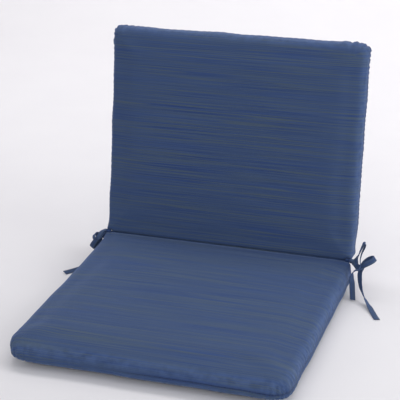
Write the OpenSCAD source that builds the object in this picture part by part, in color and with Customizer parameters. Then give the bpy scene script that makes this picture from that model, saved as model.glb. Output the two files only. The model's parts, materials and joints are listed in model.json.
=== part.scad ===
// Hinged chair cushion: a seat section and a back section, joined by a fabric web along the crease
// where the seat's top meets the back's front. Millimetres, +Z up. The origin is the centre of the
// seat's underside, -Y is the front edge and the back section stands at the +Y edge.
// Each section is built in its own flat frame first: the hinge axis is the X axis, the section runs
// along +Y and its face side (the side that is sat on or leaned on) is the plane z = 0.

/* [Sections] */
// Width of both sections
pad_w = 534; // [460:1:600]
// Depth of the seat section, from its front edge to the hinge line
seat_d = 496; // [420:1:560]
// Height of the back section, from the hinge line to its top edge
back_h = 432; // [340:1:560]
// Thickness of both sections at their edges
pad_t = 58; // [52:1:76]
// Roundness of the long edges of a section
edge_r = 22; // [18:1:24]
// Corner radius of the seat's front corners, seen from above
front_corner_r = 52; // [40:1:90]
// Corner radius of the back's top corners, seen from the front
top_corner_r = 32; // [28:1:80]

/* [Layers] */
// Thickness of the cover fabric with its backing
cover_t = 1.2; // [0.8:0.1:2]
// Thickness of each batting sheet
batting_t = 8; // [5:0.5:10]
// Clearance between one layer and the next
layer_gap = 0.2; // [0.1:0.1:0.4]
// Distance of the perimeter seam from the underside or rear face of its section
seam_level = 25; // [24:0.5:30]
// Thickness of the seam allowances where they are sewn together
seam_t = 1.6; // [1:0.1:2.4]
// How far the seam stands out from the cover
seam_proud = 0.8; // [0.4:0.1:1.2]

/* [Hinge] */
// Angle between the seat's top and the back's front when the back stands up
back_angle = 101; // [95:1:125]
// Space between the hinge line and the end of each section
hinge_gap = 2; // [1.5:0.1:4]
// Thickness of the hinge web, two layers of fabric
web_t = 1.6; // [1:0.1:2]
// Thickness of the sewing thread of the hinge
thread_d = 0.9; // [0.6:0.1:1.2]
// Distance from the end of the web to the side of the cushion
web_inset = 15; // [12:1:22]

/* [Ties] */
// Width of a tie strap
tie_w = 11; // [9:0.5:13]
// Thickness of a tie strap, four layers of fabric
tie_t = 1.6; // [1.2:0.1:2.4]
// Width of the bar tack that holds the ties, along the hinge
tack_w = 9; // [6:1:10]
// Height of the bar tack
tack_h = 9; // [8:0.5:10]

/* [Hidden] */
$fn = 64;

hinge_y = seat_d / 2;
hinge_z = pad_t;
seat_len = seat_d - hinge_gap;
back_len = back_h - hinge_gap;
seam_z = seam_level - pad_t;
batting_in = cover_t + layer_gap;
foam_in = batting_in + batting_t + layer_gap;
far = 2 * (pad_w + seat_d + back_h);

// The web ends where it meets the rounded hinge edge of each section.
roll_y = hinge_gap + edge_r;
roll_reach = sqrt(roll_y * roll_y + edge_r * edge_r);
web_leg = roll_reach - edge_r - 0.1;
web_dir = atan2(-edge_r, roll_y);
web_len = pad_w - 2 * web_inset;

cover_blue = [0.24, 0.31, 0.47];
cover_light = [0.29, 0.37, 0.54];
seam_blue = [0.16, 0.22, 0.36];
tie_blue = [0.22, 0.30, 0.50];
foam_cream = [0.93, 0.90, 0.80];
batting_white = [0.95, 0.95, 0.94];

// Tie routes, one row for each ring: a point on the strap's centre line and the direction of the
// strap's width. Both are measured from the hinge end on the floor, for the right side.
// The first point is on the face of the bar tack.
right_long = [
  [[-6, 0, 60], [0, 1, 0]],
  [[-1, 0, 60], [0, 1, 0]],
  [[5, -4, 60], [0.6, 0.8, 0.5]],
  [[10, -11, 60], [0.3, 0.2, 0.9]],
  [[14, -20, 60], [-0.3, 0, 0.9]],
  [[22, -27, 62], [-0.5, 0, 0.8]],
  [[32, -30, 69], [-0.55, 0, 0.83]],
  [[41, -29, 75], [-0.55, 0, 0.83]],
  [[47, -25, 79], [-0.55, 0, 0.83]],
  [[48, -19, 80], [-0.55, 0, 0.83]],
  [[43, -13, 77], [-0.55, 0, 0.83]],
  [[34, -10, 71], [-0.55, 0, 0.83]],
  [[26, -12, 63], [-0.6, 0.1, 0.8]],
  [[22, -17, 55], [-0.8, 0.3, 0.4]],
  [[20, -25, 47], [-0.9, 0.3, -0.2]],
  [[22, -34, 38], [-0.9, 0.3, -0.5]],
  [[26, -44, 28], [-0.7, 0.5, -0.8]],
  [[33, -55, 18], [-0.2, 0.6, -0.8]],
  [[44, -70, 9], [0.5, 0.6, -0.6]],
  [[56, -88, 4], [0.9, 0.5, -0.2]],
  [[66, -106, 1.5], [0.9, 0.5, 0]],
  [[76, -124, 1.5], [0.9, 0.5, 0]]
];
right_short = [
  [[-6, 0, 56], [0, 1, 0]],
  [[-1, 0, 56], [0, 1, 0]],
  [[6, -5, 53], [0.6, 0.7, -0.1]],
  [[14, -12, 50], [0.7, 0.6, 0.3]],
  [[20, -20, 51], [0.8, 0.2, 0.5]],
  [[18, -27, 56], [0.8, 0, 0.4]],
  [[13, -27, 64], [0.8, 0.2, 0.5]],
  [[10, -21, 69], [0.7, 0.6, 0.1]],
  [[12, -17, 77], [0.2, 0.9, -0.3]],
  [[17, -19, 89], [-0.2, 0.9, 0]],
  [[22, -20, 102], [-0.3, 0.9, 0.1]],
  [[25, -20, 109], [-0.4, 0.9, 0.1]],
  [[28, -20, 109], [-0.4, 0.9, 0.1]],
  [[27, -21, 102], [-0.3, 0.9, 0.1]],
  [[22, -22, 89], [-0.2, 0.9, 0]],
  [[20, -27, 76], [-0.2, 0.9, -0.2]],
  [[22, -34, 66], [-0.2, 0.9, -0.4]],
  [[19, -37, 59], [-0.2, 0.9, -0.3]],
  [[13, -37, 57], [-0.2, 0.9, -0.2]],
  [[8, -38, 51], [0, 0.9, -0.3]],
  [[7, -40, 40], [0.6, 0.7, -0.2]],
  [[9, -44, 27], [0.9, 0.2, 0.1]],
  [[14, -59, 3], [0.9, 0.1, 0.1]]
];
left_long = [
  [[-6, 0, 60], [0, 1, 0]],
  [[-1, 0, 60], [0, 1, 0]],
  [[3, -5, 58], [0.7, 0.7, 0]],
  [[5, -12, 55], [0.9, 0.3, 0.1]],
  [[7, -20, 51], [0.8, 0.1, 0.4]],
  [[10, -26, 45], [0.76, 0, 0.65]],
  [[15, -28, 37], [0.76, 0, 0.65]],
  [[19, -26, 30], [0.76, 0, 0.65]],
  [[21, -20, 26], [0.76, 0, 0.65]],
  [[20, -14, 28], [0.76, 0, 0.65]],
  [[16, -10, 35], [0.76, 0, 0.65]],
  [[12, -9, 42], [0.76, 0, 0.65]],
  [[9, -4, 45], [0.76, 0, 0.65]],
  [[10, 1, 42], [0.76, 0, 0.65]],
  [[12, 0, 34], [0.76, 0.2, 0.6]],
  [[13, -9, 24], [0.9, 0.4, 0.3]],
  [[13, -25, 14], [0.9, 0.2, 0]],
  [[14, -46, 7], [0.9, 0.1, 0]],
  [[19, -68, 4], [0.9, 0.3, 0.1]],
  [[32, -89, 3], [0.7, 0.5, 0.3]],
  [[47, -107, 3], [0.6, 0.6, 0.3]]
];
left_short = [
  [[-6, 0, 56], [0, 1, 0]],
  [[-1, 0, 56], [0, 1, 0]],
  [[2, -6, 54], [0.7, 0.7, 0]],
  [[4, -15, 49], [0.9, 0.3, -0.2]],
  [[7, -25, 46], [0.8, 0.2, -0.5]],
  [[12, -28, 52], [0.7, 0.3, -0.6]],
  [[14, -20, 57], [0.7, -0.1, -0.7]],
  [[13, -9, 53], [0.6, -0.4, -0.7]],
  [[12, 3, 45], [0.2, -0.5, -0.8]],
  [[11, 15, 39], [0, -0.4, -0.9]],
  [[10, 26, 35], [0, -0.3, -0.9]],
  [[7, 31, 33], [0, 0, -1]],
  [[4, 27, 32], [0, 0, -1]],
  [[5, 15, 31], [0, 0, -1]],
  [[6, 3, 30], [0, 0.1, -1]],
  [[8, -8, 26], [0.3, 0.5, -0.8]],
  [[9, -18, 19], [0.8, 0.4, -0.4]],
  [[10, -28, 10], [0.9, 0.2, 0]],
  [[10, -40, 3], [0.9, 0, 0]],
  [[10, -68, 1.5], [0.9, 0, 0]]
];

function unit(v) = v / norm(v);
function point_at(rows, i) = rows[i][0];
function along(rows, i) =
  unit(point_at(rows, min(i + 1, len(rows) - 1)) - point_at(rows, max(i - 1, 0)));
function across(rows, i) =
  let (a = rows[i][1], t = along(rows, i)) unit(a - (a * t) * t);
function strap_ring(rows, i) =
  let (p = point_at(rows, i), a = across(rows, i), n = cross(along(rows, i), a))
  [for (c = strap_section) p + a * c[0] + n * c[1]];
strap_section = [
  [-tie_w / 2, -tie_t / 4], [-tie_w / 2 + tie_t / 2, -tie_t / 2],
  [tie_w / 2 - tie_t / 2, -tie_t / 2], [tie_w / 2, -tie_t / 4],
  [tie_w / 2, tie_t / 4], [tie_w / 2 - tie_t / 2, tie_t / 2],
  [-tie_w / 2 + tie_t / 2, tie_t / 2], [-tie_w / 2, tie_t / 4]
];

// Puts a section's flat frame where the seat lies.
module on_seat() {
  translate([0, hinge_y, hinge_z]) rotate([0, 0, 180]) children();
}

// Puts a section's flat frame where the back stands.
module on_back() {
  translate([0, hinge_y, hinge_z]) rotate([180 - back_angle, 0, 0]) children();
}

// Edge profile: a band as thick as the section, with its outer edge rounded. It runs from x = 0 to w.
module edge_profile(w, t, e) {
  if (w > e + 0.01) square([w - e, t]);
  translate([0, e]) square([w, t - 2 * e]);
  translate([w - e, e]) circle(e);
  translate([w - e, t - e]) circle(e);
}

// One corner of a slab: the edge profile turned through a quarter circle.
module corner(r, t, e) {
  rotate_extrude(angle = 90)
    intersection() {
      edge_profile(r, t, e);
      square([r, t]);
    }
}

// One straight edge: the profile of width r drawn out along +Y over a length.
module straight_edge(r, t, e, length) {
  translate([0, length, 0]) rotate([90, 0, 0])
    linear_extrude(height = length) intersection() {
      edge_profile(r, t, e);
      square([r, t]);
    }
}

// A section's outer form, shrunk on all sides by inset. far_r is the corner radius at the free end;
// the corners at the hinge end are as round as the edges.
module slab(length, far_r, inset = 0) {
  w = pad_w - 2 * inset;
  d = length - 2 * inset;
  t = pad_t - 2 * inset;
  e = edge_r - inset;
  r = far_r - inset;
  translate([0, hinge_gap + inset, inset - pad_t]) {
    translate([r - w / 2, e, 0]) cube([w - 2 * r, d - r - e, t]);
    translate([e - w / 2, e, 0]) rotate([0, 0, -90]) straight_edge(e, t, e, w - 2 * e);
    translate([w / 2 - r, d - r, 0]) rotate([0, 0, 90]) straight_edge(r, t, e, w - 2 * r);
    for (side = [0, 1]) mirror([side, 0, 0]) {
      translate([w / 2 - r, e, 0]) straight_edge(r, t, e, d - r - e);
      translate([w / 2 - r, d - r, 0]) corner(r, t, e);
      translate([w / 2 - e, e, 0]) rotate([0, 0, -90]) corner(e, t, e);
    }
  }
}

// Keeps what lies on the face side of the seam, or on the other side of it.
module face_side(gap) {
  intersection() {
    children();
    translate([-far / 2, -far / 2, seam_z + gap / 2]) cube([far, far, far]);
  }
}

module under_side(gap) {
  intersection() {
    children();
    translate([-far / 2, -far / 2, seam_z - gap / 2 - far]) cube([far, far, far]);
  }
}

// A layer of a section: the space between two insets.
module layer(length, far_r, outer, inner) {
  difference() {
    slab(length, far_r, outer);
    slab(length, far_r, inner);
  }
}

module cover(length, far_r) {
  layer(length, far_r, 0, cover_t);
}

module batting(length, far_r) {
  layer(length, far_r, batting_in, batting_in + batting_t);
}

// Outline of a section seen from its face side, grown by extra.
module outline(length, far_r, extra) {
  w = pad_w + 2 * extra;
  d = length + 2 * extra;
  r = far_r + extra;
  e = edge_r + extra;
  translate([0, hinge_gap - extra]) {
    translate([-w / 2, e]) square([w, d - e - r]);
    translate([e - w / 2, 0]) square([w - 2 * e, d / 2]);
    translate([r - w / 2, d / 2]) square([w - 2 * r, d / 2]);
    for (side = [-1, 1]) {
      translate([side * (w / 2 - e), e]) circle(e);
      translate([side * (w / 2 - r), d - r]) circle(r);
    }
  }
}

// The perimeter seam: a thin ring between the two cover panels.
module seam(length, far_r) {
  translate([0, 0, seam_z - seam_t / 2]) linear_extrude(height = seam_t) difference() {
    outline(length, far_r, seam_proud);
    outline(length, far_r, -cover_t);
  }
}

// The hinge web's cross-section at rest: a leg to each section's rounded edge, joined by a mitre at
// the hinge line.
module web_shape() {
  seat_leg = [-cos(web_dir), sin(web_dir)];
  back_leg = [cos(180 - back_angle + web_dir), sin(180 - back_angle + web_dir)];
  seat_side = [seat_leg[1], -seat_leg[0]] * web_t / 2;
  back_side = [-back_leg[1], back_leg[0]] * web_t / 2;
  mitre = (seat_side + back_side) / 2;
  polygon([
    seat_leg * web_leg + seat_side, mitre, back_leg * web_leg + back_side,
    back_leg * web_leg - back_side, -mitre, seat_leg * web_leg - seat_side
  ]);
}

// Turns a shape drawn in a side view (Y to the right, Z up) into a length along X.
module along_width(length) {
  translate([-length / 2, 0, 0]) rotate([90, 0, 90]) linear_extrude(height = length) children();
}

// A row of sewing thread on the face side of a web leg.
module stitch_row() {
  rotate([web_dir, 0, 0]) translate([0, web_leg * 0.6, web_t / 2 + thread_d / 2 + 0.05])
    rotate([0, 90, 0]) cylinder(d = thread_d, h = web_len - 10, center = true);
}

module tie_tack() {
  translate([pad_w / 2 - web_inset, hinge_y - tie_w / 2, hinge_z - tack_h / 2])
    cube([tack_w, tie_w, tack_h]);
}

// A tie strap: one polyhedron swept along its route.
module strap(rows) {
  n = len(rows);
  k = len(strap_section);
  points = [for (i = [0:n - 1]) each strap_ring(rows, i)];
  sides = [for (i = [0:n - 2]) for (j = [0:k - 1])
    each [[i * k + j, i * k + (j + 1) % k, (i + 1) * k + (j + 1) % k],
          [i * k + j, (i + 1) * k + (j + 1) % k, (i + 1) * k + j]]];
  start = [[for (j = [k - 1:-1:0]) j]];
  end = [[for (j = [0:k - 1]) (n - 1) * k + j]];
  translate([pad_w / 2, hinge_y, 0]) polyhedron(points, concat(start, sides, end));
}

module seat_foam() {
  color(foam_cream) on_seat() slab(seat_len, front_corner_r, foam_in);
}

module seat_batting_top() {
  color(batting_white) on_seat() face_side(layer_gap) batting(seat_len, front_corner_r);
}

module seat_batting_bottom() {
  color(batting_white) on_seat() under_side(layer_gap) batting(seat_len, front_corner_r);
}

module seat_top_panel() {
  color(cover_light) on_seat() face_side(seam_t) cover(seat_len, front_corner_r);
}

module seat_bottom_panel() {
  color(cover_light) on_seat() under_side(seam_t) cover(seat_len, front_corner_r);
}

module seat_seam() {
  color(seam_blue) on_seat() seam(seat_len, front_corner_r);
}

module back_foam() {
  color(foam_cream) on_back() slab(back_len, top_corner_r, foam_in);
}

module back_batting_front() {
  color(batting_white) on_back() face_side(layer_gap) batting(back_len, top_corner_r);
}

module back_batting_rear() {
  color(batting_white) on_back() under_side(layer_gap) batting(back_len, top_corner_r);
}

module back_front_panel() {
  color(cover_blue) on_back() face_side(seam_t) cover(back_len, top_corner_r);
}

module back_rear_panel() {
  color(cover_blue) on_back() under_side(seam_t) cover(back_len, top_corner_r);
}

module back_seam() {
  color(seam_blue) on_back() seam(back_len, top_corner_r);
}

module hinge_web() {
  color(seam_blue) translate([0, hinge_y, hinge_z]) along_width(web_len) web_shape();
}

module hinge_stitch_seat() {
  color(seam_blue) on_seat() stitch_row();
}

module hinge_stitch_back() {
  color(seam_blue) on_back() stitch_row();
}

module tie_tack_right() {
  color(tie_blue) tie_tack();
}

module tie_tack_left() {
  color(tie_blue) mirror([1, 0, 0]) tie_tack();
}

module tie_right_long() {
  color(tie_blue) strap(right_long);
}

module tie_right_short() {
  color(tie_blue) strap(right_short);
}

module tie_left_long() {
  color(tie_blue) mirror([1, 0, 0]) strap(left_long);
}

module tie_left_short() {
  color(tie_blue) mirror([1, 0, 0]) strap(left_short);
}

seat_foam();
seat_batting_top();
seat_batting_bottom();
seat_top_panel();
seat_bottom_panel();
seat_seam();
back_foam();
back_batting_front();
back_batting_rear();
back_front_panel();
back_rear_panel();
back_seam();
hinge_web();
hinge_stitch_seat();
hinge_stitch_back();
tie_tack_right();
tie_tack_left();
tie_right_long();
tie_right_short();
tie_left_long();
tie_left_short();
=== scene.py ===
import json
import math

import bmesh
import bpy
import numpy as np
from mathutils import Matrix, Vector
from mathutils.bvhtree import BVHTree
from mathutils.kdtree import KDTree


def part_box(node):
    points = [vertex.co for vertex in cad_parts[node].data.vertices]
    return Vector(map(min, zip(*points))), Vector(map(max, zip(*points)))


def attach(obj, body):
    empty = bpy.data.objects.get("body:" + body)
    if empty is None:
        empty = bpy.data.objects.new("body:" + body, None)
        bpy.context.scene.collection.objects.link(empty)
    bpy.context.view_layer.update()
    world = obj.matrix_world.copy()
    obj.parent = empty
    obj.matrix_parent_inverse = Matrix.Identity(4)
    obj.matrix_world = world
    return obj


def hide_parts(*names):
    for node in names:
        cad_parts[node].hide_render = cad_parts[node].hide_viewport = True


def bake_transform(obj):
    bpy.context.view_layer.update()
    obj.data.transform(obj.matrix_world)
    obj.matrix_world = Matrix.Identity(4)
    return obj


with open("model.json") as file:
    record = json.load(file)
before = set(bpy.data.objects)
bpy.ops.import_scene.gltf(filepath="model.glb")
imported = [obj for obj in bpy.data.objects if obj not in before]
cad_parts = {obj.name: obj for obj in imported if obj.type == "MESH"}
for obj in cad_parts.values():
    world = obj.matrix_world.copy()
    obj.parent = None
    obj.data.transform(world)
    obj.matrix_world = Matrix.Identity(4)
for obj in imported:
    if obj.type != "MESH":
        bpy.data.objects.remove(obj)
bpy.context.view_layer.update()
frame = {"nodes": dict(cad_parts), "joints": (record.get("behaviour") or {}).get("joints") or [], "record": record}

# Measures, all from the frame. A section's flat frame has the hinge line as its X axis, the section
# runs along +Y and the face that is sat on or leaned on is z = 0.
MM = 0.001
HINGE = Vector(frame["joints"][0]["pos_m"])
MOUNTS = {mount["name"]: mount for mount in frame["record"]["mounts"]}
REAR_AXIS = Vector(MOUNTS["back_rear_face"]["axis"])
BACK_TURN = math.atan2(REAR_AXIS.y, -REAR_AXIS.z)

SEAT_PLACE = Matrix.Translation(HINGE) @ Matrix.Rotation(math.pi, 4, "Z")
BACK_PLACE = Matrix.Translation(HINGE) @ Matrix.Rotation(BACK_TURN, 4, "X")


def flat_corners(place, *nodes):
    """Lowest and highest corner of some CAD nodes in a section's flat frame."""
    to_flat = place.inverted()
    points = [to_flat @ v.co for name in nodes for v in frame["nodes"][name].data.vertices]
    co = np.array(points)
    return co.min(0), co.max(0)


SEAT_LOW, SEAT_HIGH = flat_corners(SEAT_PLACE, "seat_top_panel", "seat_bottom_panel")
BACK_HIGH = flat_corners(BACK_PLACE, "back_front_panel", "back_rear_panel")[1]
WIDTH = SEAT_HIGH[0] - SEAT_LOW[0]
THICK = SEAT_HIGH[2] - SEAT_LOW[2]
SEAT_END = SEAT_HIGH[1]
BACK_END = BACK_HIGH[1]
SEAM_LOW, SEAM_HIGH = flat_corners(SEAT_PLACE, "seat_seam")
SEAM_DEPTH = -(SEAM_LOW[2] + SEAM_HIGH[2]) / 2
TACK_LOW, TACK_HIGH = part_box("tie_tack_right")


def link(obj):
    bpy.context.scene.collection.objects.link(obj)
    return obj


def mesh_object(name, points, faces, smooth=True):
    mesh = bpy.data.meshes.new(name)
    mesh.from_pydata([tuple(p) for p in points], [], faces)
    mesh.update()
    mesh.polygons.foreach_set("use_smooth", [smooth] * len(mesh.polygons))
    return link(bpy.data.objects.new(name, mesh))


def ring_faces(count, size, closed=False):
    """Quads between neighbouring rings of points, and from the last ring to the first if closed."""
    faces = []
    for i in range(count if closed else count - 1):
        after = (i + 1) % count * size
        for j in range(size):
            k = (j + 1) % size
            faces.append((i * size + j, after + j, after + k, i * size + k))
    return faces


def unit(vectors):
    return vectors / np.linalg.norm(vectors, axis=-1, keepdims=True)


def smoothstep(low, high, value):
    t = np.clip((value - low) / (high - low), 0, 1)
    return t * t * (3 - 2 * t)


# Camera
CAMERA_AT = (0.774, -2.186, 1.229)
CAMERA_HEADING = 18.76
CAMERA_DOWN = 22.71
CAMERA_ROLL = -0.96
CAMERA_LENS = 123.2
CAMERA_SENSOR = 36


def turn(degrees, axis):
    return Matrix.Rotation(math.radians(degrees), 4, axis)


def add_camera():
    data = bpy.data.cameras.new("camera")
    data.lens = CAMERA_LENS
    data.sensor_width = CAMERA_SENSOR
    data.dof.use_dof = False
    camera = link(bpy.data.objects.new("camera", data))
    aim = turn(CAMERA_HEADING, "Z") @ turn(90 - CAMERA_DOWN, "X") @ turn(CAMERA_ROLL, "Z")
    camera.matrix_world = Matrix.Translation(CAMERA_AT) @ aim
    bpy.context.scene.camera = camera


add_camera()

# Ties. Each row of a route is a point on the strap's centre line and the direction of its width, in
# metres from the hinge end on the floor, for the right side. The left side is its mirror image.
RIGHT_LONG = [
    ((-.006, 0, .06), (0, 1, 0)),
    ((-.001, 0, .06), (0, 1, 0)),
    ((.005, -.004, .06), (.6, .8, .5)),
    ((.01, -.011, .06), (.3, .2, .9)),
    ((.014, -.02, .06), (-.3, 0, .9)),
    ((.022, -.027, .062), (-.5, 0, .8)),
    ((.032, -.03, .069), (-.55, 0, .83)),
    ((.041, -.029, .075), (-.55, 0, .83)),
    ((.047, -.025, .079), (-.55, 0, .83)),
    ((.048, -.019, .08), (-.55, 0, .83)),
    ((.043, -.013, .077), (-.55, 0, .83)),
    ((.034, -.01, .071), (-.55, 0, .83)),
    ((.026, -.012, .063), (-.6, .1, .8)),
    ((.022, -.017, .055), (-.8, .3, .4)),
    ((.02, -.025, .047), (-.9, .3, -.2)),
    ((.022, -.034, .038), (-.9, .3, -.5)),
    ((.026, -.044, .028), (-.7, .5, -.8)),
    ((.033, -.055, .018), (-.2, .6, -.8)),
    ((.044, -.07, .009), (.5, .6, -.6)),
    ((.056, -.088, .004), (.9, .5, -.2)),
    ((.066, -.106, .0015), (.9, .5, 0)),
    ((.076, -.124, .0015), (.9, .5, 0)),
]
RIGHT_SHORT = [
    ((-.006, 0, .056), (0, 1, 0)),
    ((-.001, 0, .056), (0, 1, 0)),
    ((.006, -.005, .053), (.6, .7, -.1)),
    ((.014, -.012, .05), (.7, .6, .3)),
    ((.02, -.02, .051), (.8, .2, .5)),
    ((.018, -.027, .056), (.8, 0, .4)),
    ((.013, -.027, .064), (.8, .2, .5)),
    ((.01, -.021, .069), (.7, .6, .1)),
    ((.012, -.017, .077), (.2, .9, -.3)),
    ((.017, -.019, .089), (-.2, .9, 0)),
    ((.022, -.02, .102), (-.3, .9, .1)),
    ((.025, -.02, .109), (-.4, .9, .1)),
    ((.028, -.02, .109), (-.4, .9, .1)),
    ((.027, -.021, .102), (-.3, .9, .1)),
    ((.022, -.022, .089), (-.2, .9, 0)),
    ((.02, -.027, .076), (-.2, .9, -.2)),
    ((.022, -.034, .066), (-.2, .9, -.4)),
    ((.019, -.037, .059), (-.2, .9, -.3)),
    ((.013, -.037, .057), (-.2, .9, -.2)),
    ((.008, -.038, .051), (0, .9, -.3)),
    ((.007, -.04, .04), (.6, .7, -.2)),
    ((.009, -.044, .027), (.9, .2, .1)),
    ((.014, -.059, .003), (.9, .1, .1)),
]
LEFT_LONG = [
    ((-.006, 0, .06), (0, 1, 0)),
    ((-.001, 0, .06), (0, 1, 0)),
    ((.003, -.005, .058), (.7, .7, 0)),
    ((.005, -.012, .055), (.9, .3, .1)),
    ((.007, -.02, .051), (.8, .1, .4)),
    ((.01, -.026, .045), (.76, 0, .65)),
    ((.015, -.028, .037), (.76, 0, .65)),
    ((.019, -.026, .03), (.76, 0, .65)),
    ((.021, -.02, .026), (.76, 0, .65)),
    ((.02, -.014, .028), (.76, 0, .65)),
    ((.016, -.01, .035), (.76, 0, .65)),
    ((.012, -.009, .042), (.76, 0, .65)),
    ((.009, -.004, .045), (.76, 0, .65)),
    ((.01, .001, .042), (.76, 0, .65)),
    ((.012, 0, .034), (.76, .2, .6)),
    ((.013, -.009, .024), (.9, .4, .3)),
    ((.013, -.025, .014), (.9, .2, 0)),
    ((.014, -.046, .007), (.9, .1, 0)),
    ((.019, -.068, .004), (.9, .3, .1)),
    ((.032, -.089, .003), (.7, .5, .3)),
    ((.047, -.107, .003), (.6, .6, .3)),
]
LEFT_SHORT = [
    ((-.006, 0, .056), (0, 1, 0)),
    ((-.001, 0, .056), (0, 1, 0)),
    ((.002, -.006, .054), (.7, .7, 0)),
    ((.004, -.015, .049), (.9, .3, -.2)),
    ((.007, -.025, .046), (.8, .2, -.5)),
    ((.012, -.028, .052), (.7, .3, -.6)),
    ((.014, -.02, .057), (.7, -.1, -.7)),
    ((.013, -.009, .053), (.6, -.4, -.7)),
    ((.012, .003, .045), (.2, -.5, -.8)),
    ((.011, .015, .039), (0, -.4, -.9)),
    ((.01, .026, .035), (0, -.3, -.9)),
    ((.007, .031, .033), (0, 0, -1)),
    ((.004, .027, .032), (0, 0, -1)),
    ((.005, .015, .031), (0, 0, -1)),
    ((.006, .003, .03), (0, .1, -1)),
    ((.008, -.008, .026), (.3, .5, -.8)),
    ((.009, -.018, .019), (.8, .4, -.4)),
    ((.01, -.028, .01), (.9, .2, 0)),
    ((.01, -.04, .003), (.9, 0, 0)),
    ((.01, -.068, .0015), (.9, 0, 0)),
]
TIE_WIDTH = TACK_HIGH.y - TACK_LOW.y
TIE_THICK = 1.6 * MM
TIE_STEP = 1.5 * MM
TIE_CUT = 0.22
KNOT_PINCH = 0.22
KNOT_REACH = 11 * MM
RIGHT_KNOT = (0.015, -0.024, 0.058)
LEFT_KNOT = (0.008, -0.02, 0.051)
STITCH_AT = 0.37
TIE_CUP = 0.35 * MM
TIE_CUP_LENGTH = 19 * MM
KNOT_CUP = 0.5 * MM
CUP_START = 6 * MM
CUT_REACH = 4 * MM


def spline(points, step):
    """A smooth line through the points, and for each of its points the place along the rows."""
    line = []
    place = []
    last = len(points) - 1
    for i in range(last):
        before = points[max(i - 1, 0)]
        start = points[i]
        end = points[i + 1]
        after = points[min(i + 2, last)]
        count = max(2, int(np.linalg.norm(end - start) / step))
        for t in np.arange(count) / count:
            line.append(0.5 * (2 * start + (end - before) * t
                               + (2 * before - 5 * start + 4 * end - after) * t ** 2
                               + (3 * start - before - 3 * end + after) * t ** 3))
            place.append(i + t)
    line.append(points[last])
    place.append(last)
    return np.array(line), np.array(place)


def strap_section():
    """Half thickness across the strap, from edge to edge: thin edges and two stitched grooves."""
    across = np.array([-0.5, -0.47, -0.42, -STITCH_AT, -0.32, -0.16, 0,
                       0.16, 0.32, STITCH_AT, 0.42, 0.47, 0.5])
    half = np.full(len(across), TIE_THICK / 2)
    half[[0, -1]] *= 0.25
    half[[1, -2]] *= 0.75
    half[np.isclose(abs(across), STITCH_AT)] *= 0.78
    return across, half


def add_strap(name, rows, side, knot):
    points = np.array([row[0] for row in rows], float)
    widths = unit(np.array([row[1] for row in rows], float))
    line, place = spline(points, TIE_STEP)
    along = unit(np.gradient(line, axis=0))
    start = np.minimum(place.astype(int), len(rows) - 2)
    share = smoothstep(0, 1, place - start)[:, None]
    wide = widths[start] * (1 - share) + widths[start + 1] * share
    wide = unit(wide - (wide * along).sum(1, keepdims=True) * along)
    normal = np.cross(along, wide)
    run = np.concatenate([[0], np.cumsum(np.linalg.norm(np.diff(line, axis=0), axis=1))])

    near_knot = np.exp(-(np.linalg.norm(line - np.array(knot), axis=1) / KNOT_REACH) ** 2)
    scale = TIE_WIDTH * (1 - KNOT_PINCH * near_knot)
    across, half = strap_section()
    cup = TIE_CUP * np.sin(run / TIE_CUP_LENGTH) + KNOT_CUP * near_knot
    to_end = np.exp(-(run[-1] - run) / CUT_REACH)
    rings = []
    for i in range(len(line)):
        lift = cup[i] * (1 - (2 * across) ** 2) * smoothstep(0, CUP_START, run[i])
        slide = along[i] * (TIE_CUT * TIE_WIDTH * to_end[i])
        centre = line[i] + np.outer(across, wide[i] * scale[i] + slide)
        top = centre + np.outer(lift + half, normal[i])
        under = centre + np.outer(lift - half, normal[i])
        rings.append(np.concatenate([top, under[::-1]]))
    ring_size = len(rings[0])
    verts = np.concatenate(rings)
    verts += np.array([WIDTH / 2, HINGE.y, 0])
    path = line + np.array([WIDTH / 2, HINGE.y, 0])
    verts[:, 0] *= side
    path[:, 0] *= side
    faces = []
    for i in range(len(rings) - 1):
        for j in range(ring_size):
            k = (j + 1) % ring_size
            quad = (i * ring_size + j, i * ring_size + k,
                    (i + 1) * ring_size + k, (i + 1) * ring_size + j)
            faces.append(quad if side < 0 else quad[::-1])
    first = tuple(range(ring_size))
    last = tuple(range((len(rings) - 1) * ring_size, len(rings) * ring_size))
    faces += [first[::-1], last] if side < 0 else [first, last[::-1]]
    strap = mesh_object(name, verts, faces)
    for cap in (-2, -1):
        strap.data.polygons[len(faces) + cap].use_smooth = False

    coords = np.zeros((len(verts), 3), np.float32)
    coords[:, 0] = np.tile(np.concatenate([across, across[::-1]]), len(rings))
    coords[:, 1] = np.repeat(run, ring_size)
    set_vectors(strap, "strap", coords)
    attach(strap, "seat")
    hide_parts(name.replace("_strap", ""))
    return strap


def set_vectors(obj, name, values):
    attribute = obj.data.attributes.get(name) or obj.data.attributes.new(name, "FLOAT_VECTOR", "POINT")
    attribute.data.foreach_set("vector", np.asarray(values, np.float32).ravel())


straps = [
    add_strap("tie_right_long_strap", RIGHT_LONG, 1, RIGHT_KNOT),
    add_strap("tie_right_short_strap", RIGHT_SHORT, 1, RIGHT_KNOT),
    add_strap("tie_left_long_strap", LEFT_LONG, -1, LEFT_KNOT),
    add_strap("tie_left_short_strap", LEFT_SHORT, -1, LEFT_KNOT),
]

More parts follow.
